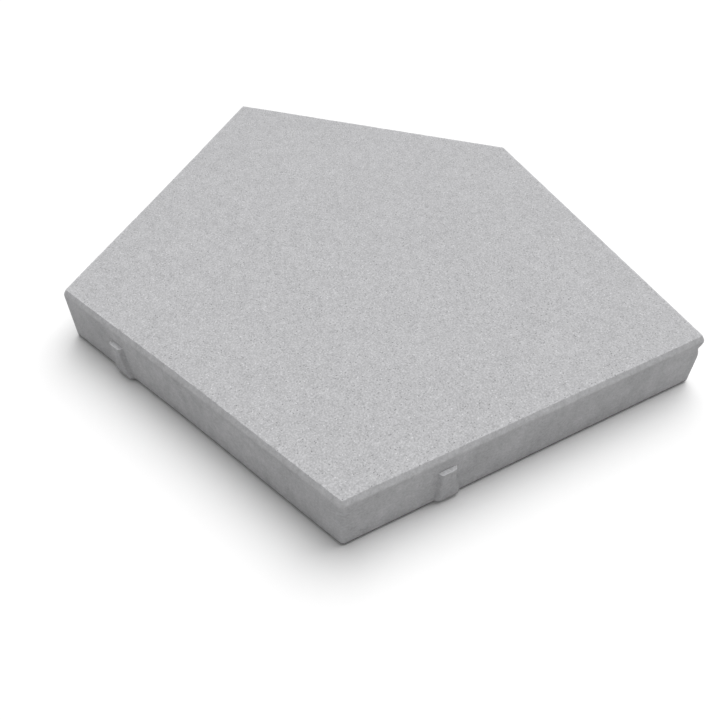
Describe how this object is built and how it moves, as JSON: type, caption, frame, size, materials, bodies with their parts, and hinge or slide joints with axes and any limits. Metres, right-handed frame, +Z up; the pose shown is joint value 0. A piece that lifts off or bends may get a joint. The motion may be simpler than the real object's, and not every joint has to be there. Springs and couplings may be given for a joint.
{
  "type": "five-sided concrete paving slab",
  "caption": "Flat five-sided concrete paving slab in two pressed layers, bevelled round its walking face, with a low spacer nib on every side",
  "frame": {"origin": "on the bed face, under the middle of the bounding box of the whole slab with its nibs", "axes": "+Z up, out of the walking face. The straight base edge faces -Y and the blunt apex points to +Y. +X is to the right seen from above with the apex away from the viewer"},
  "size_m": [0.51, 0.41, 0.05],
  "materials": {
    "facing_concrete": "matte pale grey concrete with fine sand grain",
    "core_concrete": "matte mid grey pressed concrete"
  },
  "bodies": {
    "root": {"facing_layer": "facing_concrete", "core_layer": "core_concrete", "nib_base": "core_concrete", "nib_left_flank": "core_concrete", "nib_left_roof": "core_concrete", "nib_right_roof": "core_concrete", "nib_right_flank": "core_concrete"}
  },
  "joints": []
}
